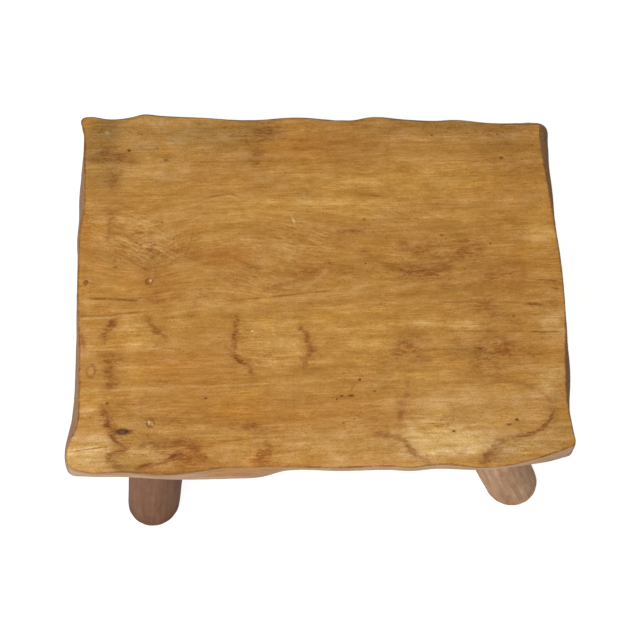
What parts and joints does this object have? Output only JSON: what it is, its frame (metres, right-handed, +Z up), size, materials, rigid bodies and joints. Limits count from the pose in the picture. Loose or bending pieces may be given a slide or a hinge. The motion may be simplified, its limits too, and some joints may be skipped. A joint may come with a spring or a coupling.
{
  "type": "milking stool",
  "caption": "Low wooden stool: a thick rectangular plank seat with a wavy hand-cut rim on splayed round legs, wedged into blind mortises, for sitting near the ground.",
  "frame": {"origin": "on the floor, under the middle of the stool's outer box", "axes": "+X along the seat's long side and grain, +Y from the front edge to the back edge, +Z up"},
  "size_m": [0.423, 0.3314, 0.23],
  "materials": {
    "seat_wood": "old amber varnish, satin, water-stained",
    "leg_wood": "bare, matte, greyed",
    "wedge_wood": "bare, matte"
  },
  "bodies": {
    "root": {"seat": "seat_wood", "front_left_leg": "leg_wood", "front_right_leg": "leg_wood", "back_left_leg": "leg_wood", "back_right_leg": "leg_wood", "front_left_wedge": "wedge_wood", "front_right_wedge": "wedge_wood", "back_left_wedge": "wedge_wood", "back_right_wedge": "wedge_wood"}
  },
  "joints": []
}
